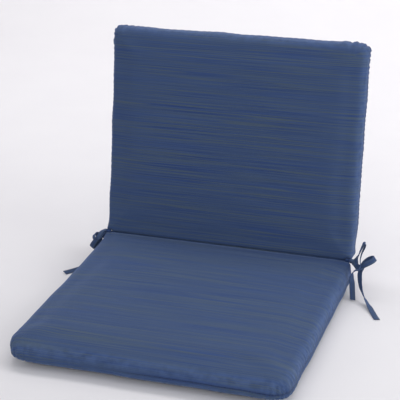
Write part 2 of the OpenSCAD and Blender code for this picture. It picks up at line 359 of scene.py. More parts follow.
# Covers: each is a closed pad built from rings around its outline, inflated as cloth that is held
# along its seam, and then given its seam, gathers and puckers.
FULLNESS = 2.5
OUTLINE_STEP = 3 * MM
VOXEL = 6 * MM
SIM_FRAMES = 20
PRESSURE = 4
PUFF_SIDEWAYS = 2.5 * MM
PUFF_UP = 5 * MM
START_INSET = 0.3 * MM
START_THIN = 3.5 * MM
HINGE_CLEAR = 1.3 * MM
CREASE_RISE = 3 * MM
CRISP = 6 * MM
SQUARE = 3.5 * MM
TACK_ROOM = 6 * MM
CREASE_LENGTH = 30 * MM
FULL_LENGTH = 90 * MM
CORNER_LIFT = 6 * MM
GIVE = 0.4 * MM
RIPPLE = 0.35 * MM
RIPPLE_WAVES = (5, 9, 14, 23)
PINCH_LENGTH = 42 * MM
FACE_RINGS = 9
UNDER_RINGS = 8
CLOTH = {
    "quality": 6, "mass": 0.3, "use_pressure": True, "uniform_pressure_force": PRESSURE,
    "tension_stiffness": 18, "compression_stiffness": 18, "shear_stiffness": 8,
    "bending_stiffness": 0.6, "vertex_group_mass": "hold",
}
SMOOTH_FROM = 7 * MM
SMOOTH_FULL = 20 * MM
SMOOTH_PASSES = 14
WANDER_LENGTHS = (31 * MM, 47 * MM, 83 * MM)
CORNER_REACH = 46 * MM
GATHER_REACH = 24 * MM
GATHER_HEIGHT = 1.9 * MM
GATHER_PITCH = 12 * MM
SIDE_PUCKER = 0.6 * MM
SIDE_PITCH = 9.5 * MM
FRONT_PUCKER = 0.22 * MM
FRONT_PITCH = 15 * MM
LUMP_DEPTH = 16 * MM
GROOVE_REACH = 2.6 * MM
GROOVE_DEPTH = 1.6 * MM
DENT_DEPTH = 0.35 * MM
BROAD_DENT = (0.067, 0.083)
SMALL_DENT = (0.031, 0.045)
CREASE_NEAR = 15 * MM
END_FADE = (28 * MM, 6 * MM)
TOP_FADE = (18 * MM, 2 * MM)
LIFT_REACH = 34 * MM
FOLDED_SLOPE = math.tan(math.radians(2)) * 0.96

SEAT = {
    "name": "seat", "end": SEAT_END, "far_corner": 38 * MM, "near_corner": 6 * MM,
    "far_edge": 38 * MM, "near_edge": 3 * MM, "side_edge": 25 * MM, "under_edge": 19 * MM,
    "under_far": 42 * MM, "waist": 0.5 * MM, "end_waist": 5 * MM, "pinch": 2 * MM, "seed": 3,
    "rests": True,
    "lumps": [(-250, 452, 1.8, 7), (-232, 474, 2.0, 8), (-205, 484, 1.2, 8), (262, 472, -4, 34)],
}
BACK = {
    "name": "back", "end": BACK_END, "far_corner": 17 * MM, "near_corner": 6 * MM,
    "far_edge": 22 * MM, "near_edge": 3 * MM, "side_edge": 18 * MM, "under_edge": 19 * MM,
    "under_far": 19 * MM, "waist": 1.2 * MM, "end_waist": 0.5 * MM, "pinch": 3 * MM, "seed": 8,
    "rests": False,
    "lumps": [(-266, 397, 2.8, 6), (-262, 424, 2.5, 9), (238, 431, 2.2, 6), (216, 431, 2.0, 6),
              (262, 414, 1.6, 8)],
}


def rounded_rectangle(half_width, start, end, near_corner, far_corner):
    """Points and outward normals around a section, from the middle of its hinge end, about 3 mm apart."""
    points = []
    normals = []

    def straight(a, b, normal):
        count = max(2, int(math.dist(a, b) / OUTLINE_STEP))
        for t in np.arange(count) / count:
            points.append((a[0] + (b[0] - a[0]) * t, a[1] + (b[1] - a[1]) * t))
            normals.append(normal)

    def arc(centre, radius, first):
        count = max(6, int(radius * math.pi / 2 / OUTLINE_STEP))
        for angle in first + np.arange(count) / count * (math.pi / 2):
            normal = (math.cos(angle), math.sin(angle))
            points.append((centre[0] + radius * normal[0], centre[1] + radius * normal[1]))
            normals.append(normal)

    w, n, f = half_width, near_corner, far_corner
    straight((0, start), (w - n, start), (0, -1))
    arc((w - n, start + n), n, -math.pi / 2)
    straight((w, start + n), (w, end - f), (1, 0))
    arc((w - f, end - f), f, 0)
    straight((w - f, end), (f - w, end), (0, 1))
    arc((f - w, end - f), f, math.pi / 2)
    straight((-w, end - f), (-w, start + n), (-1, 0))
    arc((n - w, start + n), n, math.pi)
    straight((n - w, start), (0, start), (0, -1))
    return np.array(points), np.array(normals)


def section_outline(section, inset=0.0):
    """The outline of a section, with its sides pulled in between the corners and at the hinge end."""
    points, normals = rounded_rectangle(
        WIDTH / 2 - inset, SEAT_LOW[1] + max(inset - START_INSET, 0), section["end"] - inset,
        section["near_corner"], section["far_corner"])
    middle = (SEAT_LOW[1] + section["end"]) / 2
    half = (section["end"] - SEAT_LOW[1]) / 2
    x = points[:, 0] / (WIDTH / 2)
    s = (points[:, 1] - middle) / half
    sideways = abs(normals[:, 0])
    ahead = np.clip(normals[:, 1], 0, 1)
    pull = section["waist"] * (1 - s ** 4) * sideways
    pull += section["end_waist"] * (1 - x ** 4) * ahead
    pull += section["pinch"] * np.exp(-(points[:, 1] / PINCH_LENGTH) ** 2) * sideways
    run = np.concatenate([[0], np.cumsum(np.linalg.norm(np.diff(points, axis=0), axis=1))])
    rng = np.random.default_rng(section["seed"])
    total = run[-1] + OUTLINE_STEP
    for waves in RIPPLE_WAVES:
        phase = rng.uniform(0, 2 * math.pi)
        ripple = RIPPLE * np.sin(2 * math.pi * waves * run / total + phase)
        pull += ripple * (1 - np.clip(-normals[:, 1], 0, 1))
    return points - normals * pull[:, None], normals, run


def edge_width(section, normals):
    """How far the face side rolls over towards its edge: it differs at the far and the hinge end."""
    far = np.clip(normals[:, 1], 0, 1) ** 1.5
    near = np.clip(-normals[:, 1], 0, 1) ** 1.5
    side = section["side_edge"]
    return side + (section["far_edge"] - side) * far + (section["near_edge"] - side) * near


def pad_rings(section, inset, thin, face=True, under=True):
    """Rings from the face to the underside. inset shrinks the outline and thin the thickness."""
    outline, normals, _ = section_outline(section, inset)
    roll = edge_width(section, normals)
    roll *= 1 - 0.4 * np.exp(-(outline[:, 1] / FULL_LENGTH) ** 2) * abs(normals[:, 0])
    rings = []
    power = 2 / FULLNESS
    if face:
        for t in np.linspace(0, math.pi / 2, FACE_RINGS):
            move = roll * (1 - math.sin(t) ** power)
            level = outline - normals * move[:, None]
            top = thin - CREASE_RISE * np.exp(-(level[:, 1] / CREASE_LENGTH) ** 2)
            depth = top + (SEAM_DEPTH - top) * (1 - math.cos(t) ** power)
            rings.append(np.column_stack([level, -depth]))
    if under:
        low = THICK - thin
        far = np.clip(normals[:, 1:], 0, 1) ** 1.5
        roll = section["under_edge"] * (1 - far) + section["under_far"] * far
        for t in np.linspace(math.pi / 2, 0, UNDER_RINGS)[1 if face else 0:]:
            depth = low - (low - SEAM_DEPTH) * (1 - math.cos(t) ** power)
            level = outline - normals * roll * (1 - math.sin(t) ** power)
            rings.append(np.column_stack([level, np.full(len(level), -depth)]))
    return rings


def ring_object(name, rings):
    """A closed mesh from rings with equal numbers of points, capped at both ends."""
    size = len(rings[0])
    faces = [tuple(range(size))] + ring_faces(len(rings), size)
    faces.append(tuple(range(len(rings) * size - 1, (len(rings) - 1) * size - 1, -1)))
    return mesh_object(name, np.concatenate(rings), faces)


def apply_modifiers(obj):
    graph = bpy.context.evaluated_depsgraph_get()
    mesh = bpy.data.meshes.new_from_object(obj.evaluated_get(graph))
    obj.modifiers.clear()
    old = obj.data
    obj.data = mesh
    bpy.data.meshes.remove(old)


def coordinates(mesh, source="vertices", kind="co"):
    values = np.zeros(len(mesh.vertices) * 3, np.float32)
    getattr(mesh, source).foreach_get(kind, values)
    return values.reshape(-1, 3).astype(float)


def set_coordinates(mesh, co):
    mesh.vertices.foreach_set("co", co.astype(np.float32).ravel())
    mesh.update()


def inflate(obj, section):
    """Blows the pad up as cloth, held along its seam, and caps how far every point moves."""
    start = coordinates(obj.data)
    normals = coordinates(obj.data, "vertex_normals", "vector")
    hold = obj.vertex_groups.new(name="hold")
    for i in np.nonzero(abs(start[:, 2] + SEAM_DEPTH) < VOXEL * 0.6)[0]:
        hold.add([int(i)], 1.0, "REPLACE")
    cloth = obj.modifiers.new("cloth", "CLOTH")
    settings = cloth.settings
    for key, value in CLOTH.items():
        setattr(settings, key, value)
    settings.effector_weights.gravity = 0
    cloth.point_cache.frame_start = 1
    cloth.point_cache.frame_end = SIM_FRAMES
    cloth.collision_settings.use_self_collision = False
    for step in range(1, SIM_FRAMES + 1):
        bpy.context.scene.frame_set(step)
    graph = bpy.context.evaluated_depsgraph_get()
    blown = obj.evaluated_get(graph).to_mesh()
    move = coordinates(blown) - start
    obj.evaluated_get(graph).to_mesh_clear()
    obj.modifiers.clear()
    obj.vertex_groups.clear()
    bpy.context.scene.frame_set(1)
    sideways = np.linalg.norm(move[:, :2], axis=1, keepdims=True) + 1e-9
    move[:, :2] *= np.tanh(sideways / PUFF_SIDEWAYS) * PUFF_SIDEWAYS / sideways
    move[:, 2] = np.tanh(move[:, 2] / PUFF_UP) * PUFF_UP
    # The foam holds the fabric out, so it gives way inwards by very little.
    inwards = np.minimum((move * normals).sum(1, keepdims=True) + GIVE, 0)
    move -= normals * inwards
    set_coordinates(obj.data, start + move)


class Border:
    """Finds, for any point of a section, the nearest place on its outline."""

    def __init__(self, section):
        self.points, self.normals, self.run = section_outline(section)
        self.total = self.run[-1] + OUTLINE_STEP
        self.tree = KDTree(len(self.points))
        for i, (x, y) in enumerate(self.points):
            self.tree.insert((x, y, 0), i)
        self.tree.balance()

    def locate(self, co):
        index = np.array([self.tree.find((x, y, 0))[1] for x, y in co[:, :2]])
        normal = self.normals[index]
        offset = co[:, :2] - self.points[index]
        tangent = np.column_stack([-normal[:, 1], normal[:, 0]])
        run = self.run[index] + (offset * tangent).sum(1)
        inset = -(offset * normal).sum(1)
        return run, inset, normal

    def run_of(self, x, y):
        return self.run[self.tree.find((x, y, 0))[1]]


def soften(obj, section):
    """Evens out the crown, so that no ridge shows where the face starts to roll over its edge."""
    inset = Border(section).locate(coordinates(obj.data))[1]
    crown = obj.vertex_groups.new(name="crown")
    for i, weight in enumerate(smoothstep(SMOOTH_FROM, SMOOTH_FULL, inset)):
        crown.add([i], float(weight), "REPLACE")
    smooth = obj.modifiers.new("smooth", "SMOOTH")
    smooth.factor = 0.5
    smooth.iterations = SMOOTH_PASSES
    smooth.vertex_group = "crown"
    apply_modifiers(obj)
    obj.vertex_groups.clear()


def pleats(run, spacing, sharpness):
    """Narrow valleys between soft folds, from 1 at a fold's top to below 0 in a valley."""
    wave = 0.5 + 0.5 * np.cos(2 * math.pi * run / spacing)
    return 1 - 2 * (1 - wave) ** sharpness


def wander(run, seed, size):
    """A slow, fixed wobble along the outline that keeps repeated folds from looking regular."""
    rng = np.random.default_rng(seed)
    value = np.zeros_like(run)
    for length in WANDER_LENGTHS:
        value += np.sin(2 * math.pi * run / length + rng.uniform(0, 6.28))
    return value * size / 3


def seam_pull(section, x, ahead):
    """How hard the seam draws in: the front of the seat has a flatter seam away from one corner."""
    if not section["rests"]:
        return np.ones(len(x))
    slack = smoothstep(-0.10, 0.12, x) * smoothstep(0.3, 0.8, ahead)
    return 1 - 0.8 * slack


def dress(obj, section):
    """Seam groove, corner gathers, side puckers, the fabric's own coordinates, and the masks of the painted
    highlight on the rolled edges and the painted shade in the seam groove.
    """
    mesh = obj.data
    co = coordinates(mesh)
    normals = coordinates(mesh, "vertex_normals", "vector")
    border = Border(section)
    run, inset, outward = border.locate(co)
    depth = -co[:, 2]
    above = SEAM_DEPTH - depth
    reach = np.hypot(np.clip(inset, 0, None), above)
    w, end = WIDTH / 2, section["end"]
    seed = section["seed"]

    corner = np.zeros(len(co))
    for x in (-w, w):
        at = border.run_of(x, end)
        corner += np.exp(-((run - at) / CORNER_REACH) ** 2)
    side = abs(outward[:, 0]) ** 2 * smoothstep(0.02, 0.10, co[:, 1])
    front = np.clip(outward[:, 1], 0, 1) ** 2
    wavering = run + wander(run, seed, 5 * MM) + 0.25 * inset
    close = smoothstep(1 * MM, 4 * MM, reach)
    fade = np.exp(-(reach / GATHER_REACH) ** 2) * close
    height = GATHER_HEIGHT * corner * pleats(wavering, GATHER_PITCH, 2.8) * fade
    fine = run + wander(run, seed + 1, 4 * MM) + 0.55 * inset
    height += SIDE_PUCKER * side * pleats(fine, SIDE_PITCH, 1.6) * fade
    height += FRONT_PUCKER * front * pleats(fine, FRONT_PITCH, 1.4) * fade
    # Single gathers and one dent at the corners: place across and along in mm, height and width.
    for x, y, size, width in section["lumps"]:
        apart = np.hypot(co[:, 0] - x * MM, co[:, 1] - y * MM)
        height += size * MM * np.exp(-(apart / (width * MM)) ** 2 - (above / LUMP_DEPTH) ** 2)
    # The two panels roll towards the seam, and the stitching pulls it in.
    groove = np.exp(-(above / GROOVE_REACH) ** 2) * (inset < 12 * MM)
    groove *= seam_pull(section, co[:, 0], outward[:, 1])
    height -= GROOVE_DEPTH * groove
    # Slow dents of the fill under the fabric.
    x, y = co[:, 0], co[:, 1]
    drift = np.sin(x / BROAD_DENT[0] + 1.3 * seed) * np.sin(y / BROAD_DENT[1] + 0.7 * seed)
    drift += 0.6 * np.sin(x / SMALL_DENT[0] + seed) * np.sin(y / SMALL_DENT[1] + 2.1 * seed)
    height += DENT_DEPTH * drift * smoothstep(0.02, 0.07, inset)
    co += normals * height[:, None]

    # The two sections press together at the crease: their edges there are crisp, and stop square
    # at each end, with room left for the bar tack and the ties.
    near = np.exp(-(np.clip(co[:, 1], 0, None) / CREASE_NEAR) ** 2)
    co[:, 1] -= CRISP * near * smoothstep(*END_FADE, depth)
    co[:, 2] += CRISP * near * smoothstep(*TOP_FADE, depth)
    co[:, 0] += np.sign(co[:, 0]) * SQUARE * near * smoothstep(w - 30 * MM, w, abs(co[:, 0]))
    # A section stays on its own side of the hinge, and low enough to fold flat onto the other one.
    co[:, 1] = np.maximum(co[:, 1], HINGE_CLEAR)
    ceiling = FOLDED_SLOPE * co[:, 1] - 0.2 * MM
    over = np.maximum(co[:, 2] - ceiling + MM, 0)
    co[:, 2] = np.where(over > 0, ceiling - MM * np.exp(-over / MM), co[:, 2])
    room = TACK_ROOM * smoothstep(w - 18 * MM, w - 15 * MM, abs(co[:, 0]))
    away = np.hypot(co[:, 1], co[:, 2]) + 1e-9
    co[:, 1:] *= np.maximum(room / away, 1)[:, None]
    if section["rests"]:
        # The far corners of a filled cushion stand slightly off the floor.
        low = smoothstep(SEAM_DEPTH, THICK, depth) * np.exp(-(inset / LIFT_REACH) ** 2)
        co[:, 2] += CORNER_LIFT * corner * low
        co[:, 2] = np.maximum(co[:, 2], -THICK + 0.2 * MM)
    set_coordinates(mesh, co)

    drop = np.where(above > 0, depth, THICK - depth) * smoothstep(44 * MM, 16 * MM, inset)
    weave = np.column_stack([co[:, 0] + outward[:, 0] * drop, co[:, 1] + outward[:, 1] * drop,
                             np.full(len(co), seed * 0.37)])
    set_vectors(obj, "weave", weave)
    # Painted highlight: where the face rolls over its edge, away from the hinge end, the colour is lightened as if
    # lit.
    sheen_band = np.exp(-((reach - 16 * MM) / (12 * MM)) ** 2) * smoothstep(34 * MM, 8 * MM, inset)
    sheen_band *= 1 - np.clip(-outward[:, 1], 0, 1)
    # The groove mask also darkens the colour: painted shade in the seam groove.
    set_vectors(obj, "painted_light", np.column_stack([sheen_band, groove, np.zeros(len(co))]))


def add_cover(section):
    name = section["name"]
    pad = ring_object(name + "_cover", pad_rings(section, START_INSET, START_THIN))
    remesh = pad.modifiers.new("remesh", "REMESH")
    remesh.mode = "VOXEL"
    remesh.voxel_size = VOXEL
    apply_modifiers(pad)
    inflate(pad, section)
    soften(pad, section)
    subdivide = pad.modifiers.new("subdivide", "SUBSURF")
    subdivide.levels = 1
    apply_modifiers(pad)
    dress(pad, section)
    pad.data.polygons.foreach_set("use_smooth", [True] * len(pad.data.polygons))
    return pad


def finish_cover(pad, section, place, *nodes):
    pad.data.transform(place)
    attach(pad, section["name"])
    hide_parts(*nodes)


def tube(points, profile, normals, ups):
    """Sweeps a closed profile of (out, up) pairs around a closed line of points."""
    verts = []
    for p, n, u in zip(points, normals, ups):
        verts += [p + n * a + u * b for a, b in profile]
    return verts, ring_faces(len(points), len(profile), closed=True)


def add_seam(pad, section, place):
    """The sewn edges of the two panels: a thin double ridge that lies in the cover's seam groove."""
    border = Border(section)
    mesh = pad.data
    tree = BVHTree.FromPolygons([v.co for v in mesh.vertices], [p.vertices for p in mesh.polygons])
    points = []
    for (x, y), (nx, ny) in zip(border.points, border.normals):
        outward = Vector((nx, ny, 0))
        start = Vector((x, y, -SEAM_DEPTH)) + outward * 0.03
        hit = tree.ray_cast(start, -outward)[0]
        points.append(hit if hit else start - outward * 0.03)
    points = np.array(points)
    for _ in range(2):
        points = (np.roll(points, 1, 0) + 2 * points + np.roll(points, -1, 0)) / 4
    normals = np.column_stack([border.normals, np.zeros(len(points))])
    ups = np.tile([0.0, 0.0, 1.0], (len(points), 1))
    pull = seam_pull(section, points[:, 0], border.normals[:, 1])
    points = points - normals * ((1 - pull) * 1.0 * MM)[:, None]
    ridge = [(-0.6, -1.0), (0.35, -0.9), (0.75, -0.45), (0.3, 0.0),
             (0.75, 0.45), (0.35, 0.9), (-0.6, 1.0)]
    profile = [(a * MM, b * MM) for a, b in ridge]
    verts, faces = tube(points, profile, normals, ups)
    seam = mesh_object(section["name"] + "_seam_ridge", verts, faces)
    run = np.repeat(border.run, len(profile))
    set_vectors(seam, "strap", np.column_stack([np.zeros(len(run)), run, np.zeros(len(run))]))
    seam.data.transform(place)
    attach(seam, section["name"])
    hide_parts(section["name"] + "_seam")
    return seam


seat_cover = add_cover(SEAT)
back_cover = add_cover(BACK)
seat_seam = add_seam(seat_cover, SEAT, SEAT_PLACE)
back_seam = add_seam(back_cover, BACK, BACK_PLACE)
finish_cover(seat_cover, SEAT, SEAT_PLACE, "seat_top_panel", "seat_bottom_panel")
finish_cover(back_cover, BACK, BACK_PLACE, "back_front_panel", "back_rear_panel")

# Filling: the foam core and the two batting sheets of each section, nested inside its cover
BATTING_INSET = 6.5 * MM
BATTING_THICK = 6 * MM
FOAM_INSET = BATTING_INSET + BATTING_THICK + 0.5 * MM
BATTING_GAP = 0.6 * MM


def add_foam(section, place):
    foam = ring_object(section["name"] + "_foam_core", pad_rings(section, FOAM_INSET, FOAM_INSET))
    remesh = foam.modifiers.new("remesh", "REMESH")
    remesh.mode = "VOXEL"
    remesh.voxel_size = 8 * MM
    apply_modifiers(foam)
    foam.data.polygons.foreach_set("use_smooth", [True] * len(foam.data.polygons))
    foam.data.transform(place)
    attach(foam, section["name"])
    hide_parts(section["name"] + "_foam")
    return foam


def add_batting(section, place, node, face):
    """One sheet: an outer skin from the face to the seam, and an inner skin that comes back."""
    outer = pad_rings(section, BATTING_INSET, BATTING_INSET, face=face, under=not face)
    if not face:
        outer = outer[::-1]
    level = -SEAM_DEPTH + (BATTING_GAP if face else -BATTING_GAP)
    inner = []
    for ring in outer:
        if face:
            ring[:, 2] = np.maximum(ring[:, 2], level)
        else:
            ring[:, 2] = np.minimum(ring[:, 2], level)
    flat = outer[0][:, 2].mean()
    centre = np.array([0, (SEAT_LOW[1] + section["end"]) / 2])
    half = np.array([WIDTH / 2, (section["end"] - SEAT_LOW[1]) / 2])
    for ring in outer:
        shrunk = ring.copy()
        shrunk[:, :2] = centre + (ring[:, :2] - centre) * (1 - BATTING_THICK / half)
        share = np.clip((ring[:, 2] - level) / (flat - level), 0, 1)
        shrunk[:, 2] = ring[:, 2] - share * math.copysign(BATTING_THICK, flat - level)
        inner.append(shrunk)
    rings = outer + inner[::-1]
    batting = ring_object(node + "_sheet", rings if face else rings[::-1])
    co = coordinates(batting.data)
    co[:, 2] += 0.25 * MM * np.sin(co[:, 0] / 0.011) * np.sin(co[:, 1] / 0.013)
    set_coordinates(batting.data, co)
    batting.data.transform(place)
    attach(batting, section["name"])
    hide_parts(node)
    return batting


foams = [add_foam(SEAT, SEAT_PLACE), add_foam(BACK, BACK_PLACE)]
battings = [
    add_batting(SEAT, SEAT_PLACE, "seat_batting_top", True),
    add_batting(SEAT, SEAT_PLACE, "seat_batting_bottom", False),
    add_batting(BACK, BACK_PLACE, "back_batting_front", True),
    add_batting(BACK, BACK_PLACE, "back_batting_rear", False),
]

# Hinge: the web of fabric, its two rows of stitches, and the bar tacks that hold the ties
WEB_THICK = 1.0 * MM
WEB_REACH = 10 * MM
WEB_SIDE = 0.6 * MM
SEAT_ROW = 5 * MM
BACK_ROW = 7 * MM
WEB_LOW, WEB_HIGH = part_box("hinge_web")
STITCH_PITCH = 3.4 * MM
STITCH_LENGTH = 2.7 * MM
THREAD_RADIUS = 0.4 * MM


def leg_point(place, deep, inside):
    """A point of a section's end plane, from the hinge line, as (y, z) in the shared frame."""
    moved = place @ Vector((0, inside, -deep)) - HINGE
    return np.array([moved.y, moved.z])


def add_web():
    """A strip of doubled fabric, bent at the hinge line, with a slight ruffle along its length."""
    seat_end = leg_point(SEAT_PLACE, WEB_REACH, WEB_SIDE)
    back_end = leg_point(BACK_PLACE, WEB_REACH, WEB_SIDE)
    bend = (seat_end + back_end) * -0.2
    line = []
    for t in np.linspace(0, 1, 15):
        line.append(seat_end * (1 - t) ** 2 + bend * 2 * t * (1 - t) + back_end * t ** 2)
    line = np.array(line)
    along = unit(np.gradient(line, axis=0))
    across = np.column_stack([-along[:, 1], along[:, 0]])
    half = np.full(len(line), WEB_THICK / 2)
    half[[0, -1]] *= 0.5
    section = np.concatenate([line + across * half[:, None], (line - across * half[:, None])[::-1]])
    free = np.sin(np.linspace(0, math.pi, len(line)))
    free = np.concatenate([free, free[::-1]])
    lift = np.concatenate([across, across[::-1]])
    count = int((WEB_HIGH.x - WEB_LOW.x) / (5 * MM))
    verts = []
    coords = []
    for x in np.linspace(WEB_LOW.x, WEB_HIGH.x, count):
        ruffle = 0.35 * MM * math.sin(x / 0.0085) + 0.2 * MM * math.sin(x / 0.0041 + 1)
        ring = section + lift * (free * ruffle)[:, None]
        verts += [(x, HINGE.y + y, HINGE.z + z) for y, z in ring]
        coords += [(x, y + z, 0.5) for y, z in ring]
    size = len(section)
    faces = [tuple(range(size)), tuple(range(count * size - 1, (count - 1) * size - 1, -1))]
    faces += ring_faces(count, size)
    web = mesh_object("hinge_web_strip", verts, faces)
    set_vectors(web, "weave", coords)
    set_vectors(web, "painted_light", np.zeros((len(verts), 3)))
    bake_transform(web)
    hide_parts("hinge_web")
    return web


def rod(verts, faces, centres, radius, side_axis, sides=6):
    """Adds a closed rod along the centres, with narrowed ends, to a list of points and faces."""
    first = len(verts)
    centres = np.array(centres)
    along = unit(np.gradient(centres, axis=0))
    for i, (centre, direction) in enumerate(zip(centres, along)):
        a = unit(np.cross(direction, side_axis))
        b = np.cross(direction, a)
        size = radius * (0.5 if i in (0, len(centres) - 1) else 1)
        for angle in np.arange(sides) / sides * 2 * math.pi:
            verts.append(centre + (a * math.cos(angle) + b * math.sin(angle)) * size)
    for i in range(len(centres) - 1):
        for j in range(sides):
            k = (j + 1) % sides
            faces.append((first + i * sides + j, first + i * sides + k,
                          first + (i + 1) * sides + k, first + (i + 1) * sides + j))
    faces.append(tuple(first + j for j in range(sides))[::-1])
    last = first + (len(centres) - 1) * sides
    faces.append(tuple(last + j for j in range(sides)))


def add_stitches(name, node, body, place, deep):
    """A row of running stitches on one leg of the web, sunk into it between the stitches."""
    low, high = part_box(node)
    verts = []
    faces = []
    count = int((high.x - low.x) / STITCH_PITCH)
    for i in range(count):
        x = low.x + (i + 0.5) * STITCH_PITCH
        centres = []
        for t in np.linspace(-1, 1, 5):
            y, z = leg_point(place, deep + 0.15 * MM * t, (0.15 + 0.4 * t ** 4) * MM)
            centres.append((x + t * STITCH_LENGTH / 2, HINGE.y + y, HINGE.z + z))
        rod(verts, faces, centres, THREAD_RADIUS, (0, 1, 0))
    row = mesh_object(name, verts, faces)
    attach(row, body)
    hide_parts(node)
    return row


def add_tack(name, node):
    """A bar tack: the folded strap ends, wrapped closely with thread."""
    low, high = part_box(node)
    middle = (low + high) / 2
    size = high - low
    core = bmesh.new()
    bmesh.ops.create_cube(core, size=1)
    bmesh.ops.scale(core, vec=size - Vector((0.4, 1.4, 1.4)) * MM, verts=core.verts)
    bmesh.ops.bevel(core, geom=core.edges[:], offset=1.6 * MM, segments=4, profile=0.6, affect="EDGES")
    bmesh.ops.translate(core, vec=middle, verts=core.verts)
    core.verts.ensure_lookup_table()
    verts = [np.array(v.co) for v in core.verts]
    faces = [tuple(v.index for v in f.verts) for f in core.faces]
    core.free()
    wraps = int(size.x / MM) - 1
    half_y = size.y / 2 - 0.5 * MM
    half_z = size.z / 2 - 0.5 * MM
    for i in range(wraps):
        x = low.x + (i + 1) * size.x / (wraps + 1)
        loop = []
        for angle in np.linspace(0, 2 * math.pi, 29):
            c, s = math.cos(angle), math.sin(angle)
            y = half_y * math.copysign(abs(c) ** 0.55, c)
            z = half_z * math.copysign(abs(s) ** 0.55, s)
            loop.append((x + 0.5 * MM * math.sin(angle), middle.y + y, middle.z + z))
        rod(verts, faces, loop, THREAD_RADIUS, (1, 0, 0))
    tack = mesh_object(name, verts, faces)
    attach(tack, "seat")
    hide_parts(node)
    return tack


web = add_web()
threads = [
    add_stitches("seat_stitches", "hinge_stitch_seat", "seat", SEAT_PLACE, SEAT_ROW),
    add_stitches("back_stitches", "hinge_stitch_back", "back", BACK_PLACE, BACK_ROW),
    add_tack("right_bar_tack", "tie_tack_right"),
    add_tack("left_bar_tack", "tie_tack_left"),
]

# Materials. Fabric coordinates are in metres: x runs across the cushion, along the slub yarns, and y
# runs along the section and over its edges.
DEEP_BLUE = (0.026, 0.054, 0.155, 1)
GREY_BLUE = (0.052, 0.084, 0.148, 1)
BRIGHT_BLUE = (0.036, 0.074, 0.205, 1)
OLIVE = (0.072, 0.100, 0.116, 1)
# Pale blue of the tie stitches, and of the painted highlight on the rolled edges of the covers.
THREAD_AND_HIGHLIGHT_BLUE = (0.085, 0.140, 0.300, 1)
SHADE_BLUE = (0.012, 0.022, 0.055, 1)


YARN_PITCH = (1.25 * MM, 1.0 * MM)
TIE_STITCH_PITCH = 2.6 * MM
SEAM_STITCH_PITCH = 3.2 * MM
FABRIC_SHEEN = {"Sheen_Weight": 0.3, "Sheen_Roughness": 0.35, "Sheen_Tint": (0.45, 0.6, 1, 1),
                "Specular_IOR_Level": 0.22}


class Shader:
    """Adds nodes to one material and wires them; a value may be a number, a colour or a socket."""

    def __init__(self, name):
        self.material = bpy.data.materials.new(name)
        self.material.use_nodes = True
        self.tree = self.material.node_tree
        self.tree.nodes.clear()

    def add(self, kind, inputs=None, **settings):
        node = self.tree.nodes.new(kind)
        for key, value in settings.items():
            setattr(node, key, value)
        for key, value in (inputs or {}).items():
            self.feed(node.inputs[key], value)
        return node

    def feed(self, socket, value):
        if isinstance(value, bpy.types.NodeSocket):
            self.tree.links.new(value, socket)
        else:
            socket.default_value = value

    def math(self, operation, a, b=0.0, c=0.0):
        return self.add("ShaderNodeMath", {0: a, 1: b, 2: c}, operation=operation).outputs[0]

    def mix(self, share, a, b, blend="MIX"):
        node = self.add("ShaderNodeMix", data_type="RGBA", blend_type=blend)
        self.feed(node.inputs["Factor"], share)
        self.feed(node.inputs[6], a)
        self.feed(node.inputs[7], b)
        return node.outputs[2]

    def ramp(self, value, low, high):
        node = self.add("ShaderNodeMapRange", {"Value": value, "From Min": low, "From Max": high})
        node.interpolation_type = "SMOOTHSTEP"
        return node.outputs[0]

    def parts(self, attribute):
        source = self.add("ShaderNodeAttribute", attribute_name=attribute)
        split = self.add("ShaderNodeSeparateXYZ", {0: source.outputs["Vector"]})
        return split.outputs[0], split.outputs[1], split.outputs[2]

    def noise(self, x, y, z, detail=1.0, roughness=0.5):
        place = self.add("ShaderNodeCombineXYZ", {0: x, 1: y, 2: z})
        node = self.add("ShaderNodeTexNoise", {"Vector": place.outputs[0], "Scale": 1.0,
                                               "Detail": detail, "Roughness": roughness})
        return node.outputs[0]

    def stretched(self, x, y, across, along, seed, shift=0.0, detail=1.0):
        """Noise with its cells stretched: across and along are cells per metre."""
        layer = self.math("ADD", seed, shift)
        return self.noise(self.math("MULTIPLY", x, across), self.math("MULTIPLY", y, along), layer, detail)

    def bump(self, height, strength, distance):
        node = self.add("ShaderNodeBump", {"Strength": strength, "Distance": distance, "Height": height})
        return node.outputs[0]

    def finish(self, **inputs):
        surface = self.add("ShaderNodeBsdfPrincipled")
        for key, value in inputs.items():
            self.feed(surface.inputs[key.replace("_", " ")], value)
        output = self.add("ShaderNodeOutputMaterial", {0: surface.outputs[0]})
        output.is_active_output = True
        return self.material


def slub_cloth(shader, x, y, seed):
    """Colour and height of the slub weave: thin lines of uneven length over a fine plain weave."""
    fine = shader.stretched(x, y, 5.0, 760.0, seed, 0.0, 1.0)
    band = shader.stretched(x, y, 4.0, 460.0, seed, 3.1, 0.0)
    broad = shader.stretched(x, y, 1.5, 45.0, seed, 7.7)
    rare = shader.stretched(x, y, 5.0, 500.0, seed, 11.3, 0.0)
    colour = shader.mix(shader.ramp(fine, 0.40, 0.60), DEEP_BLUE, GREY_BLUE)
    colour = shader.mix(shader.math("MULTIPLY", shader.ramp(band, 0.48, 0.62), 0.42), colour, BRIGHT_BLUE)
    colour = shader.mix(shader.math("MULTIPLY", shader.ramp(rare, 0.56, 0.66), 0.65), colour, OLIVE)
    colour = shader.mix(shader.math("MULTIPLY", shader.ramp(broad, 0.35, 0.7), 0.2), colour, GREY_BLUE)
    yarn_x = shader.math("SINE", shader.math("MULTIPLY", x, 2 * math.pi / YARN_PITCH[0]))
    yarn_y = shader.math("SINE", shader.math("MULTIPLY", y, 2 * math.pi / YARN_PITCH[1]))
    weave = shader.math("MULTIPLY", yarn_x, yarn_y)
    shade = shader.math("MULTIPLY_ADD", weave, 0.055, 1.0)
    grey = shader.add("ShaderNodeCombineXYZ", {0: shade, 1: shade, 2: shade}).outputs[0]
    colour = shader.mix(1.0, colour, grey, "MULTIPLY")
    height = shader.math("ADD", shader.math("MULTIPLY", fine, 0.9), shader.math("MULTIPLY", weave, 0.22))
    return colour, height


